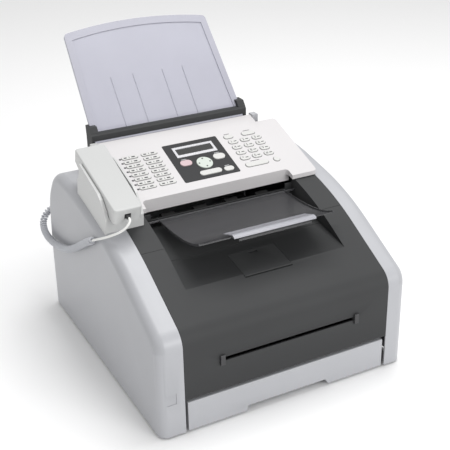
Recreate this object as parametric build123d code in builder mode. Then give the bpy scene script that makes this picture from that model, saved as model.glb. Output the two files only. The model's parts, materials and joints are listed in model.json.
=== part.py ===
from build123d import *
import os
from math import cos, pi, radians, sin, sqrt, tan

# Laser fax machine with a sloping console, a handset on the left, a document tray standing
# at the back, a clear tray over the front door and a paper drawer in the base.
# Frame: +X right, +Y to the back, +Z up, millimetres. The origin is the centre of the
# footprint at table level. A distance "d" runs back from the front face.

os.makedirs("parts", exist_ok=True)

# ---- driving dimensions -------------------------------------------------------------
FRONT = -248.6                 # y of the front face
HALF_WIDTH = 206.0
LEFT_SEAM, RIGHT_SEAM = -167.0, 173.0   # inner edges of the two side covers
WALL = 2.5
GAP = 0.6                      # shut line between the covers
COVER_FOOT = 3.0               # lower edge of the covers
# corners of the body's upper outline seen from the side (d, z), front to back, and the
# rounding at each inner corner
OUTLINE = [(0, 3), (0, 156.3), (157, 239), (310, 268), (395, 267.5), (436, 212), (447, 120),
           (450, 3)]
OUTLINE_ROUNDS = [30, 430, 430, 60, 100, 300]
FLANK_ROUND = 14.0             # rounding of the flanks' edges

DRAWER_TOP = 51.3
DOOR_FOOT = 54.6
DOOR_PIVOT = (5.5, 57.6)       # d, z
DOOR_REAR = 131.5              # shut line between the door and the upper cover
BAY_LEFT, BAY_RIGHT = -130.0, 135.0
BAY_FRONT = (64.0, 190.0)
BAY_SLOPE = tan(radians(10))
BAY_REAR = 215.0
SLOT_LEFT, SLOT_RIGHT = -112.0, 119.0   # manual feed slot in the door
SLOT_LOW, SLOT_HIGH = 102.0, 108.0

CONSOLE_LEFT, CONSOLE_RIGHT = -137.5, 176.0
CONSOLE_TILT = 19.5
CONSOLE_REF = (250.0, 272.0)   # d, z of a point on the console's top plane
CONSOLE_REAR = 361.0
CONSOLE_PIVOT = (358.0, 308.0)
BRACKET_TOP = 312.6            # of the two brackets that carry the console's hinge
KEY_TRAVEL = 0.8
KEY_CLEARANCE = 0.45

HANDSET_TILT = 15.6
HANDSET_FRONT = (160.0, 285.0)
HANDSET_LENGTH = 160.5
HANDSET_LEFT = -191.0

TRAY_LEAN = 49.0               # document tray, up from the horizontal
TRAY_FOOT = (371.0, 322.0)     # d, z of the foot of the tray's front surface
TRAY_CENTRE = -7.0

COIL_DIAMETER = 12.5
WIRE_DIAMETER = 3.6


# ---- helpers ------------------------------------------------------------------------
def block(x0, x1, d0, d1, z0, z1, mode=Mode.ADD):
    """A box from its limits."""
    with Locations(((x0 + x1) / 2, FRONT + (d0 + d1) / 2, (z0 + z1) / 2)):
        Box(x1 - x0, d1 - d0, z1 - z0, mode=mode)


def prism(x0, x1, outline, mode=Mode.ADD):
    """A side-view outline of (d, z) points, extruded from x0 to x1."""
    with BuildSketch(Plane.YZ.offset(x0)) as side:
        with BuildLine():
            Polyline(*[(FRONT + d, z) for d, z in outline], close=True)
        make_face()
    extrude(side.sketch, amount=x1 - x0, mode=mode)


def rod(x0, x1, d, z, radius, mode=Mode.ADD):
    """A round bar along X."""
    with BuildSketch(Plane.YZ.offset(x0)) as disc:
        with Locations((FRONT + d, z)):
            Circle(radius)
    extrude(disc.sketch, amount=x1 - x0, mode=mode)


CREST = FilletPolyline(*OUTLINE, radius=OUTLINE_ROUNDS)


def outline_z(d):
    """Height of the body's upper outline at a distance d."""
    low, high = 0.0, 1.0
    for _ in range(40):
        middle = (low + high) / 2
        if (CREST @ middle).X < d:
            low = middle
        else:
            high = middle
    return (CREST @ low).Y


def body_mass(x0, x1, depth=0.0, mode=Mode.ADD):
    """The body's side outline, moved inwards by a depth, extruded from x0 to x1."""
    foot = COVER_FOOT if depth == 0 else COVER_FOOT - 10
    with BuildSketch(Plane.YZ.offset(x0)) as side:
        with BuildLine():
            corners = [(FRONT, foot), *[(FRONT + d, z) for d, z in OUTLINE[1:-1]],
                       (FRONT + OUTLINE[-1][0], foot)]
            rim = FilletPolyline(*corners, radius=OUTLINE_ROUNDS)
            Line(rim @ 1, rim @ 0)
        make_face()
        if depth:
            offset(amount=-depth, kind=Kind.INTERSECTION)
    extrude(side.sketch, amount=x1 - x0, mode=mode)


def strip(x0, x1, d0, d1, z0=0.0):
    """A stretch of the body's skin, one wall thick."""
    with BuildPart() as piece:
        body_mass(x0, x1)
        body_mass(x0 - 1, x1 + 1, WALL, mode=Mode.SUBTRACT)
        block(x0 - 1, x1 + 1, d0, d1, z0, 400, mode=Mode.INTERSECT)
    return piece.part


def cheek(x0, x1, d0, d1, sink):
    """An upright wall from the skin down to the paper bay's floor."""
    with BuildPart() as piece:
        body_mass(x0, x1)
        prism(x0 - 1, x1 + 1, [(d0, bay_floor(d0) - sink), (d1, bay_floor(d1) - sink),
                               (d1, 400), (d0, 400)], mode=Mode.INTERSECT)
    return piece.part


def inset(points, depth):
    """A run of (d, z) points moved down and to the inside by a depth."""
    moved = []
    for i, (d, z) in enumerate(points):
        before = points[max(i - 1, 0)]
        after = points[min(i + 1, len(points) - 1)]
        run, rise = after[0] - before[0], after[1] - before[1]
        size = sqrt(run * run + rise * rise)
        moved.append((d + depth * rise / size, z - depth * run / size))
    return moved


def skin(x0, x1, points, depth, mode=Mode.ADD):
    """A curved sheet of even thickness under a run of (d, z) points."""
    with BuildSketch(Plane.YZ.offset(x0)) as band:
        with BuildLine():
            top = Spline(*[(FRONT + d, z) for d, z in points])
            under = Spline(*[(FRONT + d, z) for d, z in inset(points, depth)])
            Line(top @ 0, under @ 0)
            Line(top @ 1, under @ 1)
        make_face()
    extrude(band.sketch, amount=x1 - x0, mode=mode)


def plate(plane, shape, amount, mode=Mode.ADD):
    """Extrudes one closed polygon drawn on a plane."""
    with BuildSketch(plane) as flat:
        with BuildLine():
            Polyline(*shape, close=True)
        make_face()
    extrude(flat.sketch, amount=amount, mode=mode)


def bay_floor(d):
    """Height of the paper bay's floor."""
    return BAY_FRONT[1] + (d - BAY_FRONT[0]) * BAY_SLOPE


def side_blank(flank, seam, depth):
    """One side cover as a solid, at a depth below its skin."""
    sign = 1 if seam > flank else -1
    start = flank + sign * depth
    with BuildPart() as blank:
        body_mass(min(start, seam), max(start, seam), depth)
        flank_face = blank.faces().sort_by(Axis.X)[0 if sign > 0 else -1]
        rounded = [edge for edge in flank_face.edges() if edge.center().Z > COVER_FOOT + 1]
        fillet(rounded, FLANK_ROUND - depth)
    return blank


# ---- chassis ------------------------------------------------------------------------
FRAME_LEFT, FRAME_RIGHT = -165.5, 171.5
SHEET = 1.5
BASE_FLOOR = 3.5

with BuildPart() as base_pan:
    block(FRAME_LEFT + SHEET, FRAME_RIGHT - SHEET, 14, 425, BASE_FLOOR, BASE_FLOOR + 2)
    block(FRAME_LEFT + SHEET, FRAME_RIGHT - SHEET, 423, 425, BASE_FLOOR + 2, 56)
base_pan.part.label = "base_pan"
export_step(base_pan.part, "parts/base_pan.step")

FOOT_PLACES = [(x, d) for x in (-150, 155) for d in (40, 405)]

with BuildPart() as rubber_feet:
    for foot_x, foot_d in FOOT_PLACES:
        with Locations((foot_x, FRONT + foot_d, BASE_FLOOR / 2)):
            Cylinder(9, BASE_FLOOR)
rubber_feet.part.label = "rubber_feet"
export_step(rubber_feet.part, "parts/rubber_feet.step")

with BuildPart() as mid_deck:
    block(FRAME_LEFT + SHEET, FRAME_RIGHT - SHEET, 20, 438, 56, 56 + SHEET)
    # upright shield behind the vents
    block(-100, 80, 428, 428 + SHEET, 56, 192)
mid_deck.part.label = "mid_deck"
export_step(mid_deck.part, "parts/mid_deck.step")

FRAME_SHAPE = [
    (14, BASE_FLOOR), (14, 130), (32, 158), (60, 172), (123, 203), (189, 228), (232, 238),
    (315, 250), (375, 250), (400, 240), (425, 200), (436, 110), (438, BASE_FLOOR),
]
ROLLER_AXIS = (232.0, 222.0)
SHAFT_RADIUS = 3.0

with BuildPart() as side_frames:
    for inner in (FRAME_LEFT, FRAME_RIGHT - SHEET):
        prism(inner, inner + SHEET, FRAME_SHAPE)
    # hinge ears for the front door stand just outside each end of it
    for outer, near in ((FRAME_LEFT - 4.0, FRAME_LEFT), (FRAME_RIGHT + 4.0, FRAME_RIGHT)):
        low, high = sorted((outer, outer + (2.0 if outer < 0 else -2.0)))
        block(low, high, 3.0, 22, 49, 66)
        low, high = sorted((outer, near))
        block(low, high, 18, 22, 49, 66)
    rod(FRAME_LEFT - 5, FRAME_RIGHT + 5, *DOOR_PIVOT, 1.56, mode=Mode.SUBTRACT)
    rod(FRAME_LEFT - 5, FRAME_RIGHT + 5, *ROLLER_AXIS, SHAFT_RADIUS + 0.06, mode=Mode.SUBTRACT)
side_frames.part.label = "side_frames"
export_step(side_frames.part, "parts/side_frames.step")

# ---- outer covers -------------------------------------------------------------------
left_blank = side_blank(-HALF_WIDTH, LEFT_SEAM, 0.0)
left_hollow = side_blank(-HALF_WIDTH, LEFT_SEAM + 1, WALL)
right_blank = side_blank(HALF_WIDTH, RIGHT_SEAM, 0.0)
right_hollow = side_blank(HALF_WIDTH, RIGHT_SEAM - 1, WALL)

JACK = (-188.0, 171.0)         # x, z of the handset line's socket in the left cover's back
BADGE = (-188.0, 64.0, 8.5)    # x, z, half the side of the blank square on the cover's front

with BuildPart() as side_cover_left:
    add(left_blank.part)
    add(left_hollow.part, mode=Mode.SUBTRACT)
    block(JACK[0] - 6.2, JACK[0] + 6.2, 425, 460, JACK[1] - 6.2, JACK[1] + 6.2, mode=Mode.SUBTRACT)
    badge_x, badge_z, badge_half = BADGE
    block(badge_x - badge_half, badge_x + badge_half, -1, 0.7,
          badge_z - badge_half, badge_z + badge_half, mode=Mode.SUBTRACT)
side_cover_left.part.label = "side_cover_left"
export_step(side_cover_left.part, "parts/side_cover_left.step")

with BuildPart() as side_cover_right:
    add(right_blank.part)
    add(right_hollow.part, mode=Mode.SUBTRACT)
side_cover_right.part.label = "side_cover_right"
export_step(side_cover_right.part, "parts/side_cover_right.step")

BAND_LEFT, BAND_RIGHT = LEFT_SEAM + GAP, RIGHT_SEAM - GAP
INLET = (110.0, 40.0)          # x, z of the mains inlet
LINE_PORTS = [(-60.0, 40.0), (-40.0, 40.0)]
SWITCH = (150.0, 40.0)
VENT_ROWS = range(120, 176, 8)

rear_strips = [
    strip(BAND_LEFT, BAND_RIGHT, 386, 451), strip(146, BAND_RIGHT, 341.5, 387),
    strip(BAND_LEFT, -149, 367, 387)]

with BuildPart() as rear_cover:
    for piece in rear_strips:
        add(piece)
    for z in VENT_ROWS:
        block(-90, 60, 430, 455, z, z + 3.5, mode=Mode.SUBTRACT)
    block(INLET[0] - 14.2, INLET[0] + 14.2, 430, 455, INLET[1] - 10.2, INLET[1] + 10.2,
          mode=Mode.SUBTRACT)
    for port_x, port_z in LINE_PORTS:
        block(port_x - 6.2, port_x + 6.2, 430, 455, port_z - 6.2, port_z + 6.2,
              mode=Mode.SUBTRACT)
    block(SWITCH[0] - 7, SWITCH[0] + 7, 430, 455, SWITCH[1] - 10.5, SWITCH[1] + 10.5,
          mode=Mode.SUBTRACT)
    # bracket that carries the right end of the console's hinge
    block(139.6, 150, 353, 366, 264, BRACKET_TOP)
    rod(139, 143.5, *CONSOLE_PIVOT, 2.06, mode=Mode.SUBTRACT)
rear_cover.part.label = "rear_cover"
export_step(rear_cover.part, "parts/rear_cover.step")

with BuildPart() as rear_sockets:
    # mains inlet: a cup with three blades
    block(INLET[0] - 14, INLET[0] + 14, 428, 449, INLET[1] - 10, INLET[1] + 10)
    block(INLET[0] - 12, INLET[0] + 12, 432, 451, INLET[1] - 8, INLET[1] + 8, mode=Mode.SUBTRACT)
    for blade_x, blade_z in ((-7, -2), (0, 2), (7, -2)):
        block(INLET[0] + blade_x - 1, INLET[0] + blade_x + 1, 431, 446,
              INLET[1] + blade_z - 2, INLET[1] + blade_z + 2)
    # two line sockets, and the handset line's socket in the left cover
    for port_x, port_z in LINE_PORTS:
        block(port_x - 6, port_x + 6, 432, 449, port_z - 6, port_z + 6)
        block(port_x - 4.8, port_x + 4.8, 435, 451, port_z - 4, port_z + 4, mode=Mode.SUBTRACT)
    block(JACK[0] - 6, JACK[0] + 6, 422, 440, JACK[1] - 6, JACK[1] + 6)
    block(JACK[0] - 4.8, JACK[0] + 4.8, 425, 442, JACK[1] - 4, JACK[1] + 4, mode=Mode.SUBTRACT)
    # frame of the mains switch
    block(SWITCH[0] - 6.8, SWITCH[0] + 6.8, 434, 449, SWITCH[1] - 10.3, SWITCH[1] + 10.3)
    block(SWITCH[0] - 5.4, SWITCH[0] + 5.4, 437, 451, SWITCH[1] - 8.8, SWITCH[1] + 8.8,
          mode=Mode.SUBTRACT)
rear_sockets.part.label = "rear_sockets"
export_step(rear_sockets.part, "parts/rear_sockets.step")

with BuildPart() as power_switch:
    with BuildSketch(Plane.YZ.offset(SWITCH[0] - 4.9)) as rocker_side:
        with BuildLine():
            rocker = [(446.0, -8.0), (449.8, -8.0), (448.4, 0.0), (451.2, 8.0), (446.0, 8.0),
                      (443.0, 0.0)]
            Polyline(*[(FRONT + d, SWITCH[1] + z) for d, z in rocker], close=True)
        make_face()
    extrude(amount=9.8)
    rod(SWITCH[0] - 5.3, SWITCH[0] + 5.3, 445.5, SWITCH[1], 1.6)
power_switch.part.label = "power_switch"
export_step(power_switch.part, "parts/power_switch.step")

front_edge = DOOR_REAR + GAP
floor_depth = 3.5
upper_strips = [
    strip(BAND_LEFT, BAY_LEFT, front_edge, 236, 200), strip(BAND_LEFT, -139, 235, 366, 200),
    strip(BAY_RIGHT, BAND_RIGHT, front_edge, 236, 200),
    cheek(BAY_LEFT - WALL, BAY_LEFT, front_edge, BAY_REAR + WALL, 1),
    cheek(BAY_RIGHT, BAY_RIGHT + WALL, front_edge, BAY_REAR + WALL, 1)]

with BuildPart() as upper_cover:
    for piece in upper_strips:
        add(piece)
    prism(BAY_LEFT - WALL, BAY_RIGHT + WALL, [
        (front_edge, bay_floor(front_edge)), (BAY_REAR + WALL, bay_floor(BAY_REAR + WALL)),
        (BAY_REAR + WALL, bay_floor(BAY_REAR) - floor_depth),
        (front_edge, bay_floor(front_edge) - floor_depth)])
    # back wall of the bay, with the paper slot under it and the originals' slot over it
    block(BAY_LEFT, BAY_RIGHT, BAY_REAR, BAY_REAR + WALL, 226, 231)
    for x0, x1 in ((BAY_LEFT, -114), (122, BAY_RIGHT)):
        block(x0, x1, BAY_REAR, BAY_REAR + WALL, 216, 240)
    rod(BAY_LEFT - 4, BAY_RIGHT + 4, 208, 230.5, 2.06, mode=Mode.SUBTRACT)
upper_cover.part.label = "upper_cover"
export_step(upper_cover.part, "parts/upper_cover.step")

# ---- front door ---------------------------------------------------------------------
FLAP_LEFT, FLAP_RIGHT = -38.0, 40.0
FLAP_FRONT, FLAP_REAR = 59.5, 113.0
STOP_PIVOT = (60.3, 188.5)

door_pieces = [
    strip(BAND_LEFT, BAND_RIGHT, 0, DOOR_REAR, DOOR_FOOT + 3),
    cheek(BAY_LEFT - WALL, BAY_LEFT, BAY_FRONT[0] - 2, DOOR_REAR, 2),
    cheek(BAY_RIGHT, BAY_RIGHT + WALL, BAY_FRONT[0] - 2, DOOR_REAR, 2)]

with BuildPart() as front_door:
    block(BAND_LEFT, BAND_RIGHT, 0, 8.5, DOOR_FOOT, DOOR_FOOT + 6.4)
    fillet(front_door.edges().filter_by(Axis.X).group_by(Axis.Z)[0].sort_by(Axis.Y)[0], 3.0)
    add(door_pieces[0])
    # the bay's front half is let into the slope
    block(BAY_LEFT, BAY_RIGHT, BAY_FRONT[0], 140, 180, 240, mode=Mode.SUBTRACT)
    floor_end = bay_floor(DOOR_REAR)
    prism(BAY_LEFT - WALL, BAY_RIGHT + WALL, [
        BAY_FRONT, (DOOR_REAR, floor_end), (DOOR_REAR, floor_end - 4),
        (BAY_FRONT[0] - 6, BAY_FRONT[1] - 6)])
    for piece in door_pieces[1:]:
        add(piece)
    # manual feed slot and the shallow seat of the paper stop
    block(SLOT_LEFT, SLOT_RIGHT, -1, WALL + 1, SLOT_LOW, SLOT_HIGH, mode=Mode.SUBTRACT)
    seat = [(FLAP_FRONT - 1.5, 186.0), (FLAP_FRONT - 1.5, 196.0), (FLAP_REAR + 0.5, 212),
            (FLAP_REAR + 0.5, bay_floor(FLAP_REAR + 0.5) - 2.0), (63, bay_floor(63) - 2.7),
            (FLAP_FRONT, 186.2)]
    prism(FLAP_LEFT - 0.5, FLAP_RIGHT + 0.5, seat, mode=Mode.SUBTRACT)
    # hinge pins at the lower corners
    rod(BAND_LEFT - 3.0, BAND_LEFT + 1, *DOOR_PIVOT, 1.5)
    rod(BAND_RIGHT - 1, BAND_RIGHT + 3.0, *DOOR_PIVOT, 1.5)
front_door.part.label = "front_door"
export_step(front_door.part, "parts/front_door.step")

with BuildPart() as paper_stop:
    prism(FLAP_LEFT, FLAP_RIGHT, [
        (FLAP_FRONT, bay_floor(FLAP_FRONT) - 1.6), (FLAP_REAR, bay_floor(FLAP_REAR) - 1.6),
        (FLAP_REAR, bay_floor(FLAP_REAR) - 0.1), (FLAP_FRONT, bay_floor(FLAP_FRONT) - 0.1)])
    rod(FLAP_LEFT, FLAP_RIGHT, *STOP_PIVOT, 1.0)
    block(-6, 8, FLAP_REAR - 9, FLAP_REAR - 4, 196, 210, mode=Mode.SUBTRACT)
paper_stop.part.label = "paper_stop"
export_step(paper_stop.part, "parts/paper_stop.step")

GUIDE_TAB = 7.0


def feed_guide(inner_x, outward):
    """One sliding guide of the manual feed slot; outward is -1 on the left, 1 on the right."""
    low, high = sorted((inner_x, inner_x + outward * GUIDE_TAB))
    with BuildPart() as guide:
        block(low, high, -3.5, -0.35, 97, 113)
        block(low, high, -0.4, 3.0, SLOT_LOW + 0.4, SLOT_HIGH - 0.4)
        block(low, high, 2.9, 4.6, 99, 111)
        fillet(guide.edges().filter_by(Axis.X).group_by(Axis.Y)[0], 1.2)
    return guide


feed_guide_left = feed_guide(-104.5, -1)
feed_guide_left.part.label = "feed_guide_left"
export_step(feed_guide_left.part, "parts/feed_guide_left.step")

feed_guide_right = feed_guide(111.5, 1)
feed_guide_right.part.label = "feed_guide_right"
export_step(feed_guide_right.part, "parts/feed_guide_right.step")

# ---- clear tray for the originals ---------------------------------------------------
CATCH_LEFT, CATCH_RIGHT = -104.0, 118.0
CATCH_PIVOT = (208.0, 230.5)
CATCH_RUN = [(72, 249.5), (88, 242.5), (106, 237.5), (125, 234), (145, 231.8), (176, 230.2),
             (212, 230.8)]
CATCH_DEPTH = 1.8

with BuildPart() as originals_tray:
    skin(CATCH_LEFT, CATCH_RIGHT, CATCH_RUN, CATCH_DEPTH)
    # the middle of the front edge reaches further and turns down
    prism(-44, 76, [(73.5, 248.6), (72, 249.4), (65.5, 246.6), (64.5, 243.8), (66.2, 243.2),
                    (67.3, 245.4), (72.5, 246.9)])
    # low rims along both sides
    for rim_x in (CATCH_LEFT, CATCH_RIGHT - 1.6):
        skin(rim_x, rim_x + 1.6, [(d, z + 2.2) for d, z in CATCH_RUN], 3.4)
    # hinge arms and pins at the back
    rod(BAY_LEFT - WALL + 0.2, BAY_RIGHT + WALL - 0.2, *CATCH_PIVOT, 2.0)
originals_tray.part.label = "originals_tray"
export_step(originals_tray.part, "parts/originals_tray.step")

FLAP_PIVOT = (69.0, 250.9)

with BuildPart() as originals_flap:
    prism(-52, 84, [(97, 242.9), (73, 251.4), (69.5, 251.9), (66.0, 250.4), (65.2, 248.9),
                    (64.4, 249.2), (65.3, 251.3), (69.4, 252.9), (73.3, 252.4), (97.4, 243.9)])
originals_flap.part.label = "originals_flap"
export_step(originals_flap.part, "parts/originals_flap.step")

# ---- paper drawer -------------------------------------------------------------------
DRAWER_LEFT, DRAWER_RIGHT = -162.7, 167.0

with BuildPart() as drawer_front:
    block(DRAWER_LEFT, DRAWER_RIGHT, 0, 12, COVER_FOOT + 0.5, DRAWER_TOP)
    fillet(drawer_front.edges().filter_by(Axis.X).group_by(Axis.Y)[0], 1.5)
    # finger notch in the lower edge
    plate(Plane.XZ.offset(-FRONT + 1), [(-70, 0), (-67, 13), (64, 13), (74, 0)], -12,
          mode=Mode.SUBTRACT)
drawer_front.part.label = "drawer_front"
export_step(drawer_front.part, "parts/drawer_front.step")

with BuildPart() as drawer_tray:
    block(-158, 162.5, 12, 330, 7, 48)
    block(-156, 160.5, 14, 328, 9, 60, mode=Mode.SUBTRACT)
drawer_tray.part.label = "drawer_tray"
export_step(drawer_tray.part, "parts/drawer_tray.step")

LIFT_PIVOT = (200.5, 11.2)

with BuildPart() as lift_plate:
    block(-64, 68, 24, 200, 10.2, 11.8)
    rod(-64, 68, *LIFT_PIVOT, 1.6)
lift_plate.part.label = "lift_plate"
export_step(lift_plate.part, "parts/lift_plate.step")


def paper_guide(face_x, outward):
    """One upright paper guide; outward is -1 on the left, 1 on the right."""
    low, high = sorted((face_x, face_x + outward * 2))
    foot_low, foot_high = sorted((face_x, face_x + outward * 24))
    with BuildPart() as guide:
        block(low, high, 70, 190, 9.4, 42)
        block(foot_low, foot_high, 100, 160, 9.4, 11.4)
    return guide


paper_guide_left = paper_guide(-103.2, -1)
paper_guide_left.part.label = "paper_guide_left"
export_step(paper_guide_left.part, "parts/paper_guide_left.step")

paper_guide_right = paper_guide(107.4, 1)
paper_guide_right.part.label = "paper_guide_right"
export_step(paper_guide_right.part, "parts/paper_guide_right.step")

# ---- print engine -------------------------------------------------------------------
with BuildPart() as toner_cartridge:
    prism(-140, 148, [(48, 100), (40, 128), (60, 160), (120, 178), (150, 170), (160, 130),
                      (150, 104)])
    rod(-130, 138, 150, 104, 15)
    block(-30, 40, 38, 50, 118, 126)
toner_cartridge.part.label = "toner_cartridge"
export_step(toner_cartridge.part, "parts/toner_cartridge.step")

with BuildPart() as exit_roller:
    rod(FRAME_LEFT - 1.5, FRAME_RIGHT + 1.5, *ROLLER_AXIS, SHAFT_RADIUS)
    for roller_x in (-90, -35, 20, 75):
        rod(roller_x, roller_x + 22, *ROLLER_AXIS, 7)
exit_roller.part.label = "exit_roller"
export_step(exit_roller.part, "parts/exit_roller.step")

with BuildPart() as scanner_bed:
    prism(-133, 170, [(236, 245), (258, 252.5), (320, 274.5), (320, 263), (300, 258), (242, 240)])
scanner_bed.part.label = "scanner_bed"
export_step(scanner_bed.part, "parts/scanner_bed.step")

# ---- console ------------------------------------------------------------------------
tilt = radians(CONSOLE_TILT)
DECK = Plane(origin=(0, FRONT + CONSOLE_REF[0], CONSOLE_REF[1]), x_dir=(1, 0, 0),
             z_dir=(0, -sin(tilt), cos(tilt)))


def deck_z(d):
    """Height of the console's top plane."""
    return CONSOLE_REF[1] + (d - CONSOLE_REF[0]) * tan(tilt)


def under_deck(d):
    """Height of the underside of the console's top wall."""
    return deck_z(d) - WALL - 0.2


# pads on the console's plane: name -> centre x, centre v up the slope, width, height
FASCIA = (5.5, 34.2, 97.0, 92.8)
SCREEN_FRAME = (5.5, 58.3, 71.0, 25.5)
SCREEN = (5.5, 58.6, 63.0, 15.0)
PANEL_KEYS = {
    "key_stop": (-22.2, 30.8, 20.0, 13.0),
    "key_start": (36.5, 31.3, 20.5, 13.0),
    "key_navigate": (7.0, 23.4, 26.5, 26.5),
    "key_rocker": (7.0, 0.4, 38.0, 10.5),
    "key_menu": (38.4, -1.0, 17.0, 10.0),
}
DIGIT_PITCH_X, DIGIT_PITCH_V = 22.0, 14.3
DIGIT_FIRST = (76.0, 58.1)
DIGITS = [["1", "2", "3"], ["4", "5", "6"], ["7", "8", "9"], ["star", "0", "hash"]]
DECK_KEYS = {}
for row, names in enumerate(DIGITS):
    for column, digit in enumerate(names):
        DECK_KEYS["key_" + digit] = (
            DIGIT_FIRST[0] + column * DIGIT_PITCH_X, DIGIT_FIRST[1] - row * DIGIT_PITCH_V,
            16.5, 9.4)
DECK_KEYS["key_redial"] = (74.0, 72.0, 16.0, 8.4)
DECK_KEYS["key_mute"] = (111.0, 72.0, 24.0, 8.4)
DECK_KEYS["key_copy"] = (88.7, -2.6, 41.0, 9.6)
DECK_KEYS["key_phone"] = (125.0, -2.6, 10.5, 10.5)
LETTER_ROWS = 8
LETTER_TOP, LETTER_PITCH = 69.8, 10.46
LETTER_COLUMNS = (-102.1, -69.0)
LETTER_SIZE = (26.8, 6.4)


def pill(place, grow=0.0):
    """A rounded key outline in the current sketch."""
    centre_x, centre_v, width, height = place
    with Locations((centre_x, centre_v)):
        if abs(width - height) < 0.1:
            Circle(width / 2 + grow)
        else:
            SlotOverall(width + 2 * grow, height + 2 * grow)


RECESS_LEFT, RECESS_RIGHT = -124.0, 130.0
LIP_D = 222.0
NOTCH_X, NOTCH_D = 139.0, 341.0
CONSOLE_FRONT = 206.0
LIP_LOW = 242.0
console_side = [
    (CONSOLE_FRONT, deck_z(CONSOLE_FRONT)), (CONSOLE_REAR, deck_z(CONSOLE_REAR)),
    (CONSOLE_REAR, 296), (346, 288), (341, 271), (300, 267.5), (228, 254.5),
    (CONSOLE_FRONT, 249.5)]

with BuildPart() as console_housing:
    prism(CONSOLE_LEFT, CONSOLE_RIGHT, console_side)
    prism(RECESS_LEFT - 8, RECESS_RIGHT + 8, [
        (LIP_D, LIP_LOW), (LIP_D, deck_z(LIP_D)), (LIP_D + WALL + 8, deck_z(LIP_D + WALL + 8)),
        (LIP_D + WALL + 8, 256), (LIP_D + WALL, LIP_LOW)])
    with BuildSketch(Plane.XY.offset(230)) as waist:
        with BuildLine():
            Polyline((RECESS_LEFT, FRONT + 190), (RECESS_LEFT, FRONT + LIP_D),
                     (RECESS_RIGHT, FRONT + LIP_D), (RECESS_RIGHT, FRONT + 190), close=True)
        make_face()
        fillet(waist.vertices().group_by(Axis.Y)[-1], 6)
    extrude(waist.sketch, amount=60, mode=Mode.SUBTRACT)
    block(NOTCH_X, CONSOLE_RIGHT + 5, NOTCH_D, CONSOLE_REAR + 5, 250, 330, mode=Mode.SUBTRACT)
    upright = console_housing.edges().filter_by(Axis.Z)
    outer_corners = [e for e in upright if abs(e.center().X - CONSOLE_RIGHT) < 0.1]
    fillet(outer_corners, 6)
    # hollow underside
    hollow_front = LIP_D + WALL
    for x0, x1, rear in ((CONSOLE_LEFT + WALL, NOTCH_X - WALL, CONSOLE_REAR - WALL),
                         (NOTCH_X - WALL - 1, CONSOLE_RIGHT - WALL, NOTCH_D - WALL)):
        prism(x0, x1, [
            (hollow_front, 200), (hollow_front, under_deck(hollow_front)),
            (rear, under_deck(rear)), (rear, 200)], mode=Mode.SUBTRACT)
    ear_hollow = [(CONSOLE_FRONT + WALL, 200), (CONSOLE_FRONT + WALL, under_deck(CONSOLE_FRONT + WALL)),
                  (LIP_D + 5, under_deck(LIP_D + 5)), (LIP_D + 5, 200)]
    prism(CONSOLE_LEFT + WALL, RECESS_LEFT - WALL, ear_hollow, mode=Mode.SUBTRACT)
    prism(RECESS_RIGHT + WALL, CONSOLE_RIGHT - WALL, ear_hollow, mode=Mode.SUBTRACT)
    # windows for the panel and the keys
    with BuildSketch(DECK.offset(-8)) as windows:
        with Locations((FASCIA[0], FASCIA[1])):
            RectangleRounded(FASCIA[2] + 0.3, FASCIA[3] + 0.3, 2.65)
        for place in DECK_KEYS.values():
            pill(place, KEY_CLEARANCE)
        for row in range(LETTER_ROWS):
            for column_x in LETTER_COLUMNS:
                pill((column_x, LETTER_TOP - row * LETTER_PITCH, *LETTER_SIZE), KEY_CLEARANCE)
    extrude(windows.sketch, amount=16, mode=Mode.SUBTRACT)
    # hinge pins at the back
    rod(CONSOLE_LEFT - 3, CONSOLE_LEFT + 1, *CONSOLE_PIVOT, 2.0)
    rod(NOTCH_X - 1, NOTCH_X + 3, *CONSOLE_PIVOT, 2.0)
console_housing.part.label = "console_housing"
export_step(console_housing.part, "parts/console_housing.step")

with BuildPart() as display_fascia:
    with BuildSketch(DECK.offset(-2.5)) as fascia_face:
        with Locations((FASCIA[0], FASCIA[1])):
            RectangleRounded(FASCIA[2], FASCIA[3], 2.5)
        with Locations((SCREEN_FRAME[0], SCREEN_FRAME[1])):
            Rectangle(SCREEN_FRAME[2], SCREEN_FRAME[3], mode=Mode.SUBTRACT)
    extrude(amount=2.9)
    with BuildSketch(DECK.offset(-6)) as fascia_keys:
        for place in PANEL_KEYS.values():
            pill(place, KEY_CLEARANCE)
    extrude(fascia_keys.sketch, amount=12, mode=Mode.SUBTRACT)
display_fascia.part.label = "display_fascia"
export_step(display_fascia.part, "parts/display_fascia.step")

with BuildPart() as screen_frame:
    with BuildSketch(DECK.offset(-2.5)) as frame_face:
        with Locations((SCREEN_FRAME[0], SCREEN_FRAME[1])):
            Rectangle(SCREEN_FRAME[2], SCREEN_FRAME[3])
        with Locations((SCREEN[0], SCREEN[1])):
            Rectangle(SCREEN[2], SCREEN[3], mode=Mode.SUBTRACT)
    extrude(amount=3.7)
    chamfer(screen_frame.faces().sort_by(Axis.Z)[-1].edges(), 0.4)
screen_frame.part.label = "screen_frame"
export_step(screen_frame.part, "parts/screen_frame.step")

with BuildPart() as screen_glass:
    with BuildSketch(DECK.offset(-2.5)) as glass_face:
        with Locations((SCREEN[0], SCREEN[1])):
            Rectangle(SCREEN[2], SCREEN[3])
    extrude(amount=2.7)
screen_glass.part.label = "screen_glass"
export_step(screen_glass.part, "parts/screen_glass.step")

for key_name, place in {**PANEL_KEYS, **DECK_KEYS}.items():
    raised = 1.9 if key_name in PANEL_KEYS else 1.5
    with BuildPart() as key:
        with BuildSketch(DECK.offset(-3.2)):
            pill(place)
        extrude(amount=3.2 + raised)
        fillet(key.faces().sort_by(lambda f: f.center().dot(DECK.z_dir))[-1].edges(), 0.6)
    key.part.label = key_name
    export_step(key.part, "parts/" + key_name + ".step")

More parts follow.
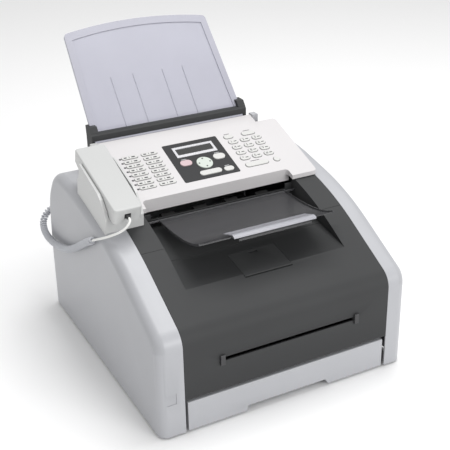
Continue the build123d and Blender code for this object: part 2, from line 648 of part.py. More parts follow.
with BuildPart() as letter_keys:
    with BuildSketch(DECK.offset(-3.2)):
        for row in range(LETTER_ROWS):
            for column_x in LETTER_COLUMNS:
                pill((column_x, LETTER_TOP - row * LETTER_PITCH, *LETTER_SIZE))
    extrude(amount=4.5)
letter_keys.part.label = "letter_keys"
export_step(letter_keys.part, "parts/letter_keys.step")

# ---- handset and its cradle ---------------------------------------------------------
lean = radians(HANDSET_TILT)
GRIP = Plane(origin=(0, FRONT + HANDSET_FRONT[0], HANDSET_FRONT[1]), x_dir=(1, 0, 0),
             z_dir=(0, -sin(lean), cos(lean)))


def on_grip(s, n):
    """The (d, z) of a point s along the handset and n out of its top plane."""
    return (HANDSET_FRONT[0] + s * cos(lean) - n * sin(lean),
            HANDSET_FRONT[1] + s * sin(lean) + n * cos(lean))


MOUTH_DEPTH, GRIP_DEPTH, EAR_DEPTH = 24.0, 15.0, 28.0
MOUTH_END, EAR_START = 42.0, 106.0
UNDERSIDE = [(-5, -60), (-5, -MOUTH_DEPTH), (MOUTH_END, -MOUTH_DEPTH),
             (MOUTH_END + 10, -GRIP_DEPTH), (EAR_START, -GRIP_DEPTH),
             (EAR_START + 12, -EAR_DEPTH), (EAR_START + 26, -EAR_DEPTH),
             (HANDSET_LENGTH, -19), (HANDSET_LENGTH + 5, -19), (HANDSET_LENGTH + 5, -60)]
HAND_JACK = (-170.0, -13.0)    # x, depth of the cord's socket in the handset's front end

with BuildPart() as handset_shell:
    with BuildSketch(GRIP) as handset_plan:
        with BuildLine():
            Polyline((HANDSET_LEFT, 0), (-148, 0), (-142.5, HANDSET_LENGTH),
                     (HANDSET_LEFT, HANDSET_LENGTH), close=True)
        make_face()
        fillet(handset_plan.vertices(), 5)
    extrude(amount=-32)
    prism(-210, -130, [on_grip(s, n) for s, n in UNDERSIDE], mode=Mode.SUBTRACT)
    fillet(handset_shell.faces().sort_by(lambda f: f.center().dot(GRIP.z_dir))[-1].edges(), 2.2)
    # socket for the plug, then the rows of sound holes
    jack_low, jack_high = HAND_JACK[1] - 4.2, HAND_JACK[1] + 4.2
    prism(HAND_JACK[0] - 5, HAND_JACK[0] + 5, [
        on_grip(-2, jack_low), on_grip(13, jack_low), on_grip(13, jack_high),
        on_grip(-2, jack_high)], mode=Mode.SUBTRACT)
    with BuildSketch(GRIP.offset(-EAR_DEPTH - 1)) as sound_holes:
        for centre_s in (20, 125):
            with Locations((-169, centre_s)):
                with PolarLocations(6, 6):
                    Circle(1.3)
    extrude(sound_holes.sketch, amount=8, mode=Mode.SUBTRACT)
handset_shell.part.label = "handset_shell"
export_step(handset_shell.part, "parts/handset_shell.step")

CRADLE_GAP = 0.7
HOOK = (-168.0, 76.0)          # x, s of the hook switch

with BuildPart() as handset_cradle:
    prism(-199, -138.4, [(185, 225), on_grip(14, -28), on_grip(24, -17), on_grip(40, -8),
                         on_grip(52, -5), on_grip(128, -5), on_grip(128, -32), (363, 285),
                         (363, 240)])
    block(-150, -138.4, 350, 361.4, 280, BRACKET_TOP)
    # pocket that follows the handset's underside
    prism(HANDSET_LEFT - CRADLE_GAP, -141.5, [
        on_grip(0, 20), on_grip(0, -MOUTH_DEPTH - CRADLE_GAP),
        on_grip(MOUTH_END + 1, -MOUTH_DEPTH - CRADLE_GAP),
        on_grip(MOUTH_END + 11, -GRIP_DEPTH - CRADLE_GAP),
        on_grip(EAR_START - 1, -GRIP_DEPTH - CRADLE_GAP),
        on_grip(EAR_START + 11, -EAR_DEPTH - CRADLE_GAP),
        on_grip(HANDSET_LENGTH + 8, -EAR_DEPTH - CRADLE_GAP), on_grip(HANDSET_LENGTH + 8, 20)],
        mode=Mode.SUBTRACT)
    # the outer wall leans in towards its top
    plate(Plane.XZ.offset(-FRONT), [(-210, 200), (-199.5, 238), (-194.2, 330), (-194.2, 360),
                                    (-230, 360)], -400, mode=Mode.SUBTRACT)
    # it sits on the left cover and the upper cover
    add(left_blank.part, mode=Mode.SUBTRACT)
    body_mass(LEFT_SEAM - 0.1, -130, -0.1, mode=Mode.SUBTRACT)
    # the rear part keeps clear of the left flank
    block(-210, LEFT_SEAM + 0.5, 296, 380, 230, 330, mode=Mode.SUBTRACT)
    # hole for the hook switch, bore for the console's hinge pin
    prism(HOOK[0] - 4.4, HOOK[0] + 4.4, [
        on_grip(HOOK[1] - 6.4, -10), on_grip(HOOK[1] + 6.4, -10),
        on_grip(HOOK[1] + 6.4, -26), on_grip(HOOK[1] - 6.4, -26)], mode=Mode.SUBTRACT)
    rod(-150, -138, *CONSOLE_PIVOT, 2.06, mode=Mode.SUBTRACT)
handset_cradle.part.label = "handset_cradle"
export_step(handset_cradle.part, "parts/handset_cradle.step")

with BuildPart() as hook_switch:
    prism(HOOK[0] - 4, HOOK[0] + 4, [
        on_grip(HOOK[1] - 6, -21.5), on_grip(HOOK[1] + 6, -21.5), on_grip(HOOK[1] + 6, -16.4),
        on_grip(HOOK[1] + 2, -15.3), on_grip(HOOK[1] - 2, -15.3), on_grip(HOOK[1] - 6, -16.4)])
hook_switch.part.label = "hook_switch"
export_step(hook_switch.part, "parts/hook_switch.step")

# ---- document tray ------------------------------------------------------------------
rake = radians(TRAY_LEAN)
SHEET_PLANE = Plane(origin=(TRAY_CENTRE, FRONT + TRAY_FOOT[0], TRAY_FOOT[1]), x_dir=(1, 0, 0),
                    z_dir=(0, -sin(rake), cos(rake)))


def on_sheet(t, n):
    """The (d, z) of a point t up the document tray and n out of its front."""
    return (TRAY_FOOT[0] + t * cos(rake) - n * sin(rake),
            TRAY_FOOT[1] + t * sin(rake) + n * cos(rake))


TRAY_TOP = 180.0
TRAY_CROWN = 12.0
FOOT_HALF, TOP_HALF = 134.0, 128.0
FRAME_SIDE, FRAME_TOP = 11.0, 12.0
TRAY_DEPTH = 5.0

with BuildPart() as document_tray:
    with BuildSketch(SHEET_PLANE) as tray_outline:
        with BuildLine():
            Line((-TOP_HALF, TRAY_TOP), (-FOOT_HALF, 0))
            Line((-FOOT_HALF, 0), (-FOOT_HALF + 1, -14))
            Line((-FOOT_HALF + 1, -14), (FOOT_HALF - 1, -14))
            Line((FOOT_HALF - 1, -14), (FOOT_HALF, 0))
            Line((FOOT_HALF, 0), (TOP_HALF, TRAY_TOP))
            ThreePointArc((TOP_HALF, TRAY_TOP), (0, TRAY_TOP + TRAY_CROWN), (-TOP_HALF, TRAY_TOP))
        make_face()
        fillet(tray_outline.vertices().group_by(Axis.Y)[-1], 7)
        with BuildLine():
            top_y = TRAY_TOP - FRAME_TOP
            Line((-TOP_HALF + FRAME_SIDE, top_y), (-FOOT_HALF + FRAME_SIDE, 0))
            Line((-FOOT_HALF + FRAME_SIDE, 0), (FOOT_HALF - FRAME_SIDE, 0))
            Line((FOOT_HALF - FRAME_SIDE, 0), (TOP_HALF - FRAME_SIDE, top_y))
            ThreePointArc((TOP_HALF - FRAME_SIDE, top_y), (0, top_y + TRAY_CROWN - 1),
                          (-TOP_HALF + FRAME_SIDE, top_y))
        make_face(mode=Mode.SUBTRACT)
    extrude(amount=-TRAY_DEPTH)
document_tray.part.label = "document_tray"
export_step(document_tray.part, "parts/document_tray.step")

RIBS = (-73.0, -34.0, 19.0, 56.0)

with BuildPart() as document_panel:
    with BuildSketch(SHEET_PLANE.offset(-2.8)) as panel_outline:
        with BuildLine():
            Line((-TOP_HALF + FRAME_SIDE, top_y), (-FOOT_HALF + FRAME_SIDE, 0))
            Line((-FOOT_HALF + FRAME_SIDE, 0), (FOOT_HALF - FRAME_SIDE, 0))
            Line((FOOT_HALF - FRAME_SIDE, 0), (TOP_HALF - FRAME_SIDE, top_y))
            ThreePointArc((TOP_HALF - FRAME_SIDE, top_y), (0, top_y + TRAY_CROWN - 1),
                          (-TOP_HALF + FRAME_SIDE, top_y))
        make_face()
    extrude(amount=1.6)
    with BuildSketch(SHEET_PLANE.offset(-1.4)) as ribs:
        for rib_x in RIBS:
            with Locations((rib_x, 48)):
                Rectangle(1.4, 92)
    extrude(ribs.sketch, amount=1.2)
document_panel.part.label = "document_panel"
export_step(document_panel.part, "parts/document_panel.step")

HOLDER_LEFT, HOLDER_RIGHT = -145.0, 133.0
HOLDER_FRONT = 363.5

with BuildPart() as document_holder:
    prism(HOLDER_LEFT, HOLDER_RIGHT, [
        (HOLDER_FRONT, 268.5), (HOLDER_FRONT, 323), (HOLDER_FRONT + 3, 326), (387, 326),
        (388, 324), (388, 268.5)])
    for ear_left in (HOLDER_LEFT, HOLDER_RIGHT - 13):
        prism(ear_left, ear_left + 13, [
            (HOLDER_FRONT, 318), (HOLDER_FRONT + 3, 327), (373, 335), (390, 335), (388, 318)])
    # slot for the foot of the document tray
    prism(TRAY_CENTRE - FOOT_HALF - 0.6, TRAY_CENTRE + FOOT_HALF + 0.6, [
        on_sheet(-14.6, 0.5), on_sheet(60, 0.5), on_sheet(60, -TRAY_DEPTH - 0.5),
        on_sheet(-14.6, -TRAY_DEPTH - 0.5)], mode=Mode.SUBTRACT)
    # keep off the rear cover's top
    body_mass(HOLDER_LEFT - 1, NOTCH_X + 7, -0.3, mode=Mode.SUBTRACT)
document_holder.part.label = "document_holder"
export_step(document_holder.part, "parts/document_holder.step")

# ---- handset cord -------------------------------------------------------------------
with BuildPart() as cord_plug_base:
    block(JACK[0] - 4.6, JACK[0] + 4.6, 427, 444, JACK[1] - 3.8, JACK[1] + 3.8)
    block(JACK[0] - 3.2, JACK[0] + 3.2, 444, 450, JACK[1] - 2.6, JACK[1] + 2.6)
cord_plug_base.part.label = "cord_plug_base"
export_step(cord_plug_base.part, "parts/cord_plug_base.step")

with BuildPart() as cord_plug_handset:
    prism(HAND_JACK[0] - 4.6, HAND_JACK[0] + 4.6, [
        on_grip(0.5, jack_low + 0.4), on_grip(12, jack_low + 0.4), on_grip(12, jack_high - 0.4),
        on_grip(0.5, jack_high - 0.4)])
    prism(HAND_JACK[0] - 3, HAND_JACK[0] + 3, [
        on_grip(-4, jack_low + 1.6), on_grip(0.5, jack_low + 1.6),
        on_grip(0.5, jack_high - 1.6), on_grip(-4, jack_high - 1.6)])
cord_plug_handset.part.label = "cord_plug_handset"
export_step(cord_plug_handset.part, "parts/cord_plug_handset.step")

# the coiled stretch starts at the plug in the left cover's back and runs forward along
# the flank; (x, d, z)
COIL_ROUTE = [
    (-188, 450, 171), (-188, 464, 171), (-197.5, 473, 163.5), (-209, 468, 150.5),
    (-213.6, 452, 141), (-214.6, 430, 137), (-215.2, 400, 139), (-215.0, 362, 147.5),
    (-215.4, 322, 159.5), (-215.0, 282, 180), (-214.6, 248, 201), (-214.2, 220, 218),
    (-213.0, 199, 229)]
# the straight stretch crosses over the cover's shoulder to the handset's front end
TAIL_ROUTE = [
    (-213.0, 199, 229), (-212.3, 186.75, 235.4), (-207.0, 174, 241.5), (-199.0, 163.5, 247.5),
    (-189.5, 155.0, 253.5), (-180.5, 150.5, 259.5), (-173.5, 150.5, 266.5),
    (HAND_JACK[0], *on_grip(-9, HAND_JACK[1])), (HAND_JACK[0], *on_grip(-4, HAND_JACK[1]))]


def corner_radii(route):
    """Arc radii for the corners of a cord's route."""
    radii = []
    for before, here, after in zip(route, route[1:], route[2:]):
        run_in, run_out = Vector(*here) - Vector(*before), Vector(*after) - Vector(*here)
        half_turn = radians(run_in.get_angle(run_out)) / 2
        radii.append(0.45 * min(run_in.length, run_out.length) / tan(half_turn))
    return radii


def cord_solid(route, diameter):
    """A round cord along straight runs and tangent arcs."""
    points = [(x, FRONT + d, z) for x, d, z in route]
    radii = corner_radii(points)
    print("radii", [round(r, 1) for r in radii])
    with BuildPart() as cord:
        with BuildLine() as path:
            FilletPolyline(*points, radius=radii)
        spine = path.wire()
        with BuildSketch(Plane(origin=spine @ 0, z_dir=spine % 0)) as section:
            Circle(diameter / 2)
        sweep(section.sketch, path=spine)
    expected = spine.length * pi * diameter ** 2 / 4
    print("length", round(spine.length, 1), "volume ratio", round(cord.part.volume / expected, 4))
    return cord


cord_coil = cord_solid(COIL_ROUTE, COIL_DIAMETER)
cord_coil.part.label = "cord_coil"
export_step(cord_coil.part, "parts/cord_coil.step")

cord_tail = cord_solid(TAIL_ROUTE, WIRE_DIAMETER)
cord_tail.part.label = "cord_tail"
export_step(cord_tail.part, "parts/cord_tail.step")
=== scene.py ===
import json
from math import cos, pi, radians, sin

import bpy
from mathutils import Matrix, Vector


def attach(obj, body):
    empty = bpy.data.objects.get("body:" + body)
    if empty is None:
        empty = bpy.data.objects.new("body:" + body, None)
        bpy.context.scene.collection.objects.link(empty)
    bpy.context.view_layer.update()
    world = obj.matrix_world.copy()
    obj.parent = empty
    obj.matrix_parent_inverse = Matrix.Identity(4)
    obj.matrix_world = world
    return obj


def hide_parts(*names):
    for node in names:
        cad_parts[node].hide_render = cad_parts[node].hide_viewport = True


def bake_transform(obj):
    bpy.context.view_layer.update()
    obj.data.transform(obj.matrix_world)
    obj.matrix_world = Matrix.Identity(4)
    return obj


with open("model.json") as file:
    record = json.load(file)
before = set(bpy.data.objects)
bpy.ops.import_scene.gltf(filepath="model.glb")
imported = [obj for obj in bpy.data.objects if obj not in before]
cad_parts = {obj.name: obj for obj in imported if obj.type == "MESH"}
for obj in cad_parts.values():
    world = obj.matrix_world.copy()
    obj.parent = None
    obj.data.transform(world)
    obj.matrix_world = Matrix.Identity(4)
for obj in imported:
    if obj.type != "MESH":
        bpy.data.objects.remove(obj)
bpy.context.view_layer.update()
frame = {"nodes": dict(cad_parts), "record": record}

FRONT = -0.2486                 # y of the front face; a depth d runs back from it
KIT = frame["nodes"]


def at(x, d, z):
    """A point given in millimetres (x, depth behind the front face, z), in metres."""
    return Vector((x / 1000, FRONT + d / 1000, z / 1000))


def new_object(name, data):
    """An object with its data, put into the scene."""
    obj = bpy.data.objects.new(name, data)
    bpy.context.scene.collection.objects.link(obj)
    return obj


# ---- camera -------------------------------------------------------------------------
AZIMUTH, ELEVATION, ROLL = radians(-27.36), radians(25.63), radians(-1.14)
CAMERA_PLACE = (-601.95, -970.58, 833.73)
camera_data = bpy.data.cameras.new("camera")
camera_data.lens = 75.04
camera_data.sensor_width = 36.0
camera_data.clip_start = 0.01
camera = new_object("camera", camera_data)
back = Vector((sin(AZIMUTH) * cos(ELEVATION), -cos(AZIMUTH) * cos(ELEVATION), sin(ELEVATION)))
side = (-back).cross(Vector((0, 0, 1))).normalized()
rise = back.cross(side)
right = cos(ROLL) * side + sin(ROLL) * rise
up = -sin(ROLL) * side + cos(ROLL) * rise
turn = Matrix((right, up, back)).transposed().to_4x4()
camera.matrix_world = Matrix.Translation(at(*CAMERA_PLACE)) @ turn
bpy.context.scene.camera = camera

# ---- cords --------------------------------------------------------------------------
LEAN = radians(15.6)            # the handset's top, up towards the back
GRIP_DEPTH, GRIP_HEIGHT = 160.0, 285.0          # where s and n are both 0


def on_grip(s, n):
    """The (d, z) of a point s along the handset and n out of its top."""
    return (GRIP_DEPTH + s * cos(LEAN) - n * sin(LEAN), GRIP_HEIGHT + s * sin(LEAN) + n * cos(LEAN))


JACK_DEPTH = -13.0
COIL_ROUTE = [
    (-188, 450, 171), (-188, 464, 171), (-197.5, 473, 163.5), (-209, 468, 150.5),
    (-213.6, 452, 141), (-214.6, 430, 137), (-215.2, 400, 139), (-215.0, 362, 147.5),
    (-215.4, 322, 159.5), (-215.0, 282, 180), (-214.6, 248, 201), (-214.2, 220, 218),
    (-213.0, 199, 229)]
TAIL_ROUTE = [
    (-213.0, 199, 229), (-212.3, 186.75, 235.4), (-207.0, 174, 241.5), (-199.0, 163.5, 247.5),
    (-189.5, 155.0, 253.5), (-180.5, 150.5, 259.5), (-173.5, 150.5, 266.5),
    (-170, *on_grip(-9, JACK_DEPTH)), (-170, *on_grip(-4, JACK_DEPTH))]
WIRE = 0.0036
COIL_RADIUS = 0.0044            # of the helix's own centreline
COIL_PITCH = 0.0050
COIL_STEP, TAIL_STEP = 0.0005, 0.001            # from one point of a line to the next
PLAIN_START, PLAIN_END = 0.010, 0.0005          # plain runs before and after the turns
GROW_START, GROW_END = 0.007, 0.004             # runs over which the turns widen and narrow


def smooth_line(route):
    """Points along a smooth curve that starts and ends with the route and is drawn to its points."""
    curve = bpy.data.curves.new("guide", "CURVE")
    curve.dimensions = "3D"
    spline = curve.splines.new("NURBS")
    spline.points.add(len(route) - 1)
    for place, point in zip(spline.points, route):
        place.co = (*at(*point), 1)
    spline.order_u = 3
    spline.use_endpoint_u = True
    spline.resolution_u = 12
    guide = new_object("guide", curve)
    bpy.context.view_layer.update()
    mesh = bpy.data.meshes.new_from_object(guide)
    points = [v.co.copy() for v in mesh.vertices]
    bpy.data.objects.remove(guide)
    return points


def resample(line, step):
    """Points one step apart along a line; a remainder shorter than a step is left off."""
    out = [line[0].copy()]
    carry = 0.0
    for a, b in zip(line, line[1:]):
        run = (b - a).length
        place = step - carry
        while place <= run:
            out.append(a.lerp(b, place / run))
            place += step
        carry = run - (place - step)
    return out


def length_of(line):
    """The length along a line of points."""
    return sum((b - a).length for a, b in zip(line, line[1:]))


def frames_along(line):
    """Each point with two directions square to the line, carried along without twisting."""
    tangents = []
    for i in range(len(line)):
        before, after = line[max(i - 1, 0)], line[min(i + 1, len(line) - 1)]
        tangents.append((after - before).normalized())
    normal = tangents[0].cross(Vector((0, 0, 1))).normalized()
    rows = []
    for point, tangent in zip(line, tangents):
        normal = (normal - tangent * normal.dot(tangent)).normalized()
        rows.append((point, normal, tangent.cross(normal)))
    return rows


def helix_along(line):
    """The wire's centreline: turns about the line that grow out of a plain start and end."""
    whole = length_of(line)
    helix = []
    travelled = 0.0
    for point, normal, binormal in frames_along(line):
        left = whole - travelled
        grow = min(1.0, max(0.0, (travelled - PLAIN_START) / GROW_START),
                   max(0.0, (left - PLAIN_END) / GROW_END))
        reach = COIL_RADIUS * grow * grow * (3 - 2 * grow)
        angle = 2 * pi * travelled / COIL_PITCH
        helix.append(point + reach * (cos(angle) * normal + sin(angle) * binormal))
        travelled += COIL_STEP
    helix[-1] = line[-1].copy()
    return helix


def tube_mesh(name, line, radius, sides):
    """A closed round tube along a line of points."""
    verts, faces = [], []
    rows = frames_along(line)
    for point, normal, binormal in rows:
        for k in range(sides):
            angle = 2 * pi * k / sides
            verts.append(point + radius * (cos(angle) * normal + sin(angle) * binormal))
    for i in range(len(rows) - 1):
        for k in range(sides):
            a, b = i * sides + k, i * sides + (k + 1) % sides
            faces.append((a, b, b + sides, a + sides))
    faces.append(tuple(reversed(range(sides))))
    last = (len(rows) - 1) * sides
    faces.append(tuple(last + k for k in range(sides)))
    mesh = bpy.data.meshes.new(name)
    mesh.from_pydata([tuple(v) for v in verts], [], faces)
    mesh.validate()
    for face in mesh.polygons:
        face.use_smooth = len(face.vertices) == 4
    return new_object(name, mesh)


coil_line = resample(smooth_line(COIL_ROUTE), COIL_STEP)
cord_coil = tube_mesh("curly_cord", helix_along(coil_line), WIRE / 2, sides=8)
tail_line = resample(smooth_line(TAIL_ROUTE), TAIL_STEP)
cord_tail = tube_mesh("straight_cord", tail_line, WIRE / 2, sides=12)
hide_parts("cord_coil")
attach(cord_coil, "chassis")
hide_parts("cord_tail")
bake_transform(cord_tail)


# ---- materials ----------------------------------------------------------------------
def material(name, color, rough=0.45, grain=0.0, tint=0.06, clear=1.0, metal=0.0, coat=0.0,
             wear=0.0, specular=0.5):
    """Moulded plastic or metal with a fine surface grain, soft uneven tone and worn edges."""
    look = bpy.data.materials.new(name)
    look.use_nodes = True
    nodes, links = look.node_tree.nodes, look.node_tree.links
    shader = nodes["Principled BSDF"]
    shader.inputs["Metallic"].default_value = metal
    shader.inputs["Coat Weight"].default_value = coat
    shader.inputs["Coat Roughness"].default_value = 0.12
    shader.inputs["IOR"].default_value = 1.46
    shader.inputs["Specular IOR Level"].default_value = specular
    place = nodes.new("ShaderNodeTexCoord")
    broad = nodes.new("ShaderNodeTexNoise")
    broad.inputs["Scale"].default_value = 9.0
    broad.inputs["Detail"].default_value = 4.0
    links.new(place.outputs["Object"], broad.inputs["Vector"])
    tone = nodes.new("ShaderNodeValToRGB")
    tone.color_ramp.elements[0].position = 0.3
    tone.color_ramp.elements[1].position = 0.7
    tone.color_ramp.elements[0].color = (*[c * (1 - tint) for c in color], 1)
    tone.color_ramp.elements[1].color = (*[min(1, c * (1 + tint)) for c in color], 1)
    links.new(broad.outputs["Fac"], tone.inputs["Fac"])
    last = tone.outputs["Color"]
    if wear:
        edge = nodes.new("ShaderNodeNewGeometry")
        edge_ramp = nodes.new("ShaderNodeValToRGB")
        edge_ramp.color_ramp.elements[0].position = 0.505
        edge_ramp.color_ramp.elements[1].position = 0.56
        links.new(edge.outputs["Pointiness"], edge_ramp.inputs["Fac"])
        mix = nodes.new("ShaderNodeMixRGB")
        mix.blend_type = "MIX"
        scale = nodes.new("ShaderNodeMath")
        scale.operation = "MULTIPLY"
        scale.inputs[1].default_value = wear
        links.new(edge_ramp.outputs["Color"], scale.inputs[0])
        links.new(scale.outputs[0], mix.inputs["Fac"])
        links.new(last, mix.inputs["Color1"])
        mix.inputs["Color2"].default_value = (*[min(1, c * 1.6 + 0.05) for c in color], 1)
        last = mix.outputs["Color"]
    links.new(last, shader.inputs["Base Color"])
    fine = nodes.new("ShaderNodeTexNoise")
    fine.inputs["Scale"].default_value = 900.0
    fine.inputs["Detail"].default_value = 3.0
    links.new(place.outputs["Object"], fine.inputs["Vector"])
    spread = nodes.new("ShaderNodeMapRange")
    spread.inputs["To Min"].default_value = max(0.02, rough - 0.06)
    spread.inputs["To Max"].default_value = rough + 0.06
    links.new(fine.outputs["Fac"], spread.inputs["Value"])
    links.new(spread.outputs["Result"], shader.inputs["Roughness"])
    if grain:
        bump = nodes.new("ShaderNodeBump")
        bump.inputs["Strength"].default_value = grain
        bump.inputs["Distance"].default_value = 0.0003
        links.new(fine.outputs["Fac"], bump.inputs["Height"])
        links.new(bump.outputs["Normal"], shader.inputs["Normal"])
    if clear < 1.0:
        shader.inputs["Alpha"].default_value = clear
    return look


FINISH = {
    "light_cover": dict(color=(0.385, 0.39, 0.41), rough=0.34, grain=0.12, tint=0.02, wear=0.15),
    "dark_cover": dict(color=(0.034, 0.035, 0.036), rough=0.55, grain=0.2, tint=0.06, wear=0.2,
                       specular=0.2),
    "handset": dict(color=(0.52, 0.525, 0.52), rough=0.36, grain=0.1, tint=0.02, wear=0.1),
    "fascia": dict(color=(0.021, 0.0215, 0.023), rough=0.5, grain=0.12, tint=0.06, wear=0.2,
                   specular=0.2),
    "smoked_clear": dict(color=(0.062, 0.062, 0.066), rough=0.24, specular=0.3, clear=0.66, tint=0.05),
    "frosted_clear": dict(color=(0.44, 0.44, 0.51), rough=0.3, clear=0.8, tint=0.03),
    "tray_frame": dict(color=(0.40, 0.40, 0.46), rough=0.3, grain=0.05, tint=0.03, clear=0.93),
    "screen": dict(color=(0.020, 0.021, 0.021), rough=0.1, tint=0.1, coat=0.6),
    "silver_trim": dict(color=(0.50, 0.50, 0.52), rough=0.26, metal=0.25, tint=0.03, wear=0.2),
    "steel": dict(color=(0.42, 0.43, 0.44), rough=0.4, metal=0.8, grain=0.1, tint=0.05),
    "rubber": dict(color=(0.03, 0.03, 0.03), rough=0.8, grain=0.3, tint=0.1),
    "black_plastic": dict(color=(0.03, 0.03, 0.032), rough=0.42, grain=0.15, tint=0.08, wear=0.2),
    "stop_key": dict(color=(0.56, 0.42, 0.44), rough=0.38, grain=0.06, tint=0.02),
    "key_white": dict(color=(0.58, 0.58, 0.565), rough=0.36, grain=0.06, tint=0.015),
    "cord_jacket": dict(color=(0.50, 0.51, 0.54), rough=0.4, grain=0.06, tint=0.04),
    "clear_plug": dict(color=(0.7, 0.7, 0.7), rough=0.2, clear=0.8, tint=0.03),
}
looks = {slot: material(slot, **values) for slot, values in FINISH.items()}
# painted shade for the gaps round the keys, laid on the console as thin dark rings
key_gap_shade = material("key_gap_shade", (0.10, 0.10, 0.105), rough=0.6, tint=0.05)
ink = material("ink", (0.035, 0.035, 0.04), rough=0.5, tint=0.05)
light_ink = material("light_ink", (0.55, 0.56, 0.57), rough=0.5, tint=0.02)

# ---- marks on the console -----------------------------------------------------------
TILT = radians(19.5)            # the console's slope
DECK_DEPTH, DECK_HEIGHT = 250.0, 272.0          # the line on the slope where v is 0
PAD_THICKNESS = 0.12
# the rings of painted shade round the keys: gap from the key, outer margin and height, in millimetres
SHADE_GAP, SHADE_WIDTH, SHADE_HEIGHT = 0.12, 0.75, 0.1
DIGIT_RAISE = 0.00005           # metres


def deck_matrix(x, v, lift):
    """Placement of a flat mark at x and v up the console's slope, lifted off it, in millimetres."""
    normal = Vector((0, -sin(TILT), cos(TILT)))
    slope = Vector((0, cos(TILT), sin(TILT)))
    turned = Matrix((Vector((1, 0, 0)), slope, normal)).transposed().to_4x4()
    place = at(x, DECK_DEPTH + v * cos(TILT), DECK_HEIGHT + v * sin(TILT))
    return Matrix.Translation(place + normal * lift / 1000) @ turned


def raised_points(place, outline, height):
    """An outline in millimetres, set on a placement and raised off it, in metres."""
    return [tuple(place @ Vector((u / 1000, w / 1000, height / 1000))) for u, w in outline]


def marks(name, body, look, shapes):
    """Printed marks as thin raised pads; each shape is (x, v, lift, outline)."""
    verts, faces = [], []
    for x, v, lift, outline in shapes:
        place = deck_matrix(x, v, lift)
        start, count = len(verts), len(outline)
        for height in (0.0, PAD_THICKNESS):
            verts += raised_points(place, outline, height)
        faces.append(tuple(range(start + count, start + 2 * count)))
        faces.append(tuple(reversed(range(start, start + count))))
        for k in range(count):
            nxt = (k + 1) % count
            faces.append((start + k, start + nxt, start + count + nxt, start + count + k))
    mesh = bpy.data.meshes.new(name)
    mesh.from_pydata(verts, [], faces)
    mesh.materials.append(look)
    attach(new_object(name, mesh), body)


def pill(width, height, grow, steps=8):
    """The points round a key's outline, grown by a margin, as (u, w)."""
    radius = min(width, height) / 2 + grow
    reach_u, reach_w = max(0, (width - height) / 2), max(0, (height - width) / 2)
    points = []
    for k in range(4 * steps):
        angle = 2 * pi * (k + 0.5) / (4 * steps)
        points.append((radius * cos(angle) + (reach_u if cos(angle) > 0 else -reach_u),
                       radius * sin(angle) + (reach_w if sin(angle) > 0 else -reach_w)))
    return points


def shadow_rings(name, body, look, places):
    """Thin dark rings of painted shade round the openings that the keys stand in, for the shade in the
    gaps round the keys.
    """
    verts, faces = [], []
    for x, v, key_width, key_height in places:
        place = deck_matrix(x, v, 0.0)
        inner = pill(key_width, key_height, SHADE_GAP)
        outer = pill(key_width, key_height, SHADE_WIDTH)
        start, count = len(verts), len(inner)
        for outline, height in ((inner, 0.0), (inner, SHADE_HEIGHT), (outer, SHADE_HEIGHT), (outer, 0.0)):
            verts += raised_points(place, outline, height)
        for ring in range(4):
            nxt_ring = (ring + 1) % 4
            for k in range(count):
                nxt = (k + 1) % count
                faces.append((start + ring * count + k, start + nxt_ring * count + k,
                              start + nxt_ring * count + nxt, start + ring * count + nxt))
    mesh = bpy.data.meshes.new(name)
    mesh.from_pydata(verts, [], faces)
    mesh.validate()
    mesh.materials.append(look)
    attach(new_object(name, mesh), body)


def bar(width, height):
    """A rectangle outline round a point."""
    return [(-width / 2, -height / 2), (width / 2, -height / 2),
            (width / 2, height / 2), (-width / 2, height / 2)]


def dot(radius, sides=16):
    """A round outline."""
    return [(radius * cos(2 * pi * k / sides), radius * sin(2 * pi * k / sides)) for k in range(sides)]


def digit_mesh(name, body, text, x, v, lift, size):
    """A generic digit or sign as a thin raised letter on a key."""
    curve = bpy.data.curves.new(name, "FONT")
    curve.body = text
    curve.size = size / 1000
    curve.align_x = "CENTER"
    curve.align_y = "CENTER"
    curve.extrude = DIGIT_RAISE
    curve.resolution_u = 3
    letter = new_object(name, curve)
    letter.matrix_world = deck_matrix(x, v, lift)
    bpy.context.view_layer.update()
    mesh = bpy.data.meshes.new_from_object(letter.evaluated_get(bpy.context.evaluated_depsgraph_get()))
    obj = bpy.data.objects.new(name, mesh)
    obj.matrix_world = letter.matrix_world.copy()
    bpy.data.objects.remove(letter)
    bpy.context.scene.collection.objects.link(obj)
    mesh.materials.clear()
    mesh.materials.append(ink)
    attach(obj, body)


KEYPAD = [["1", "2", "3"], ["4", "5", "6"], ["7", "8", "9"], ["star", "0", "hash"]]
SIGNS = {"star": "*", "hash": "#"}
KEY_TOP, LETTER_TOP, PANEL_KEY_TOP, FASCIA_TOP = 1.5, 1.3, 1.9, 0.4
KEY_SIZE, LETTER_SIZE = (16.5, 9.4), (26.8, 6.4)
SIGN_SIZE, SIGN_SHIFT, TICK_SHIFT = 7.5, 3.4, 3.2
LETTER_COLUMNS, LETTER_ROWS = (-102.1, -69.0), 8
MEMORY_DOT_X = -118.4
WIDE_KEYS = [(74.0, 72.0, 16.0, 8.4), (111.0, 72.0, 24.0, 8.4), (88.7, -2.6, 41.0, 9.6),
             (125.0, -2.6, 10.5, 10.5)]         # x, v, width, height
NAV_X, NAV_V, NAV_REACH = 7.0, 23.4, 9.4


def key_place(row, column):
    """The (x, v) of a number key."""
    return 76.0 + 22.0 * column, 58.1 - 14.3 * row


def letter_v(row):
    """The v of a row of small keys."""
    return 69.8 - row * 10.46


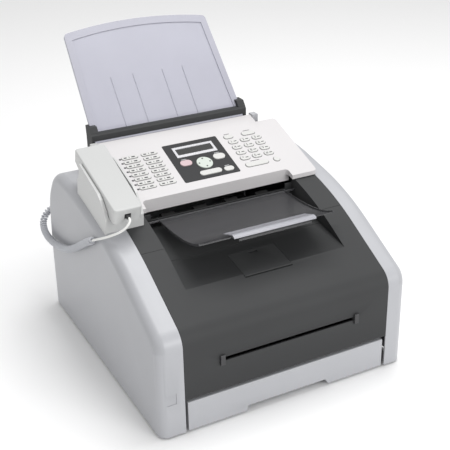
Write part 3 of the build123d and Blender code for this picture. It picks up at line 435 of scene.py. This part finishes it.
deck_places = list(WIDE_KEYS)
for row, names in enumerate(KEYPAD):
    for column, digit in enumerate(names):
        key_x, key_v = key_place(row, column)
        node = "key_" + digit
        digit_mesh("sign_" + digit, node, SIGNS.get(digit, digit), key_x - SIGN_SHIFT, key_v, KEY_TOP,
                   SIGN_SIZE)
        marks("tick_" + digit, node, ink, [(key_x + TICK_SHIFT, key_v, KEY_TOP, bar(5.0, 1.5))])
        deck_places.append((key_x, key_v, *KEY_SIZE))
letter_marks, memory_dots = [], []
for row in range(LETTER_ROWS):
    v = letter_v(row)
    memory_dots.append((MEMORY_DOT_X, v, 0.0, dot(1.9)))
    for x in LETTER_COLUMNS:
        letter_marks.append((x - 7.6, v, LETTER_TOP, bar(4.6, 2.3)))
        letter_marks.append((x + 5.6, v, LETTER_TOP, bar(5.6, 2.3)))
        letter_marks.append((x - 1.0, v, LETTER_TOP, bar(0.7, 3.6)))
        deck_places.append((x, v, *LETTER_SIZE))
marks("letter_marks", "letters", ink, letter_marks)
# painted shade: dark rings for the gaps round every key on the console
shadow_rings("painted_key_gap_shade", "console", key_gap_shade, deck_places)
marks("memory_dots", "console", ink, memory_dots)
arrow_marks = []
for step in range(4):
    angle = pi / 2 * step
    arrow_marks.append((NAV_X + NAV_REACH * cos(angle), NAV_V + NAV_REACH * sin(angle), PANEL_KEY_TOP,
                        dot(1.4)))
marks("arrow_marks", "key_navigate", ink, arrow_marks)
marks("rocker_marks", "key_rocker", light_ink, [(NAV_X, 0.4, PANEL_KEY_TOP, bar(0.5, 9.0))])
marks("function_marks", "console", ink, [
    (74.0, 79.5, 0.0, bar(9.0, 1.0)), (111.0, 79.5, 0.0, bar(12.0, 1.0)),
    (88.7, 5.4, 0.0, bar(16.0, 1.0))])
marks("panel_marks", "console", light_ink, [
    (-22.2, 40.2, FASCIA_TOP, bar(9.0, 1.0)), (36.5, 40.8, FASCIA_TOP, bar(9.0, 1.0)),
    (38.4, 7.2, FASCIA_TOP, bar(8.0, 1.0))])

# ---- looks of the pieces ------------------------------------------------------------
own_look = {
    "originals_flap": material("flap_clear", (0.55, 0.55, 0.60), rough=0.2, clear=0.5, tint=0.03),
    "console_housing": material("console_white", (0.56, 0.545, 0.55), rough=0.38, grain=0.1, tint=0.02,
                                wear=0.1),
    "key_navigate": material("nav_disc", (0.55, 0.60, 0.55), rough=0.34, grain=0.05, tint=0.02),
    "handset_cradle": looks["handset"],
    "cord_plug_handset": looks["black_plastic"],
    "side_frames": looks["black_plastic"],
}
slot_of = {row["node"]: row["material_slot"] for row in frame["record"]["subparts"]}
for node, obj in KIT.items():
    obj.data.materials.clear()
    obj.data.materials.append(own_look.get(node, looks[slot_of[node]]))
white_cord = material("white_cord", (0.78, 0.78, 0.76), rough=0.35, grain=0.05, tint=0.02)
cord_coil.data.materials.append(looks["cord_jacket"])
cord_tail.data.materials.append(white_cord)

# ---- stage and light ----------------------------------------------------------------
HALF = 6                        # metres of floor to each side
LIT = (0, 0, 0.2)               # the point that both lights face
floor_mesh = bpy.data.meshes.new("floor")
floor_mesh.from_pydata([(-HALF, -HALF, 0), (HALF, -HALF, 0), (HALF, HALF, 0), (-HALF, HALF, 0)], [],
                       [(0, 1, 2, 3)])
floor_mesh.materials.append(material("floor", (0.93, 0.93, 0.93), rough=0.8, tint=0.0))
floor = new_object("floor", floor_mesh)

world = bpy.data.worlds.new("studio")
bpy.context.scene.world = world
world.use_nodes = True
world.node_tree.nodes["Background"].inputs["Color"].default_value = (1, 1, 1, 1)
world.node_tree.nodes["Background"].inputs["Strength"].default_value = 0.72


def soft_light(name, place, size, power):
    """A square studio light aimed at the object."""
    data = bpy.data.lights.new(name, "AREA")
    data.energy = power
    data.size = size
    lamp = new_object(name, data)
    lamp.location = place
    lamp.rotation_euler = (Vector(LIT) - Vector(place)).to_track_quat("-Z", "Y").to_euler()


soft_light("key", (0.5, 0.1, 2.4), 1.4, 32)
soft_light("fill", (0.9, -2.7, 1.1), 1.2, 26)
bpy.context.scene.view_settings.view_transform = "Standard"
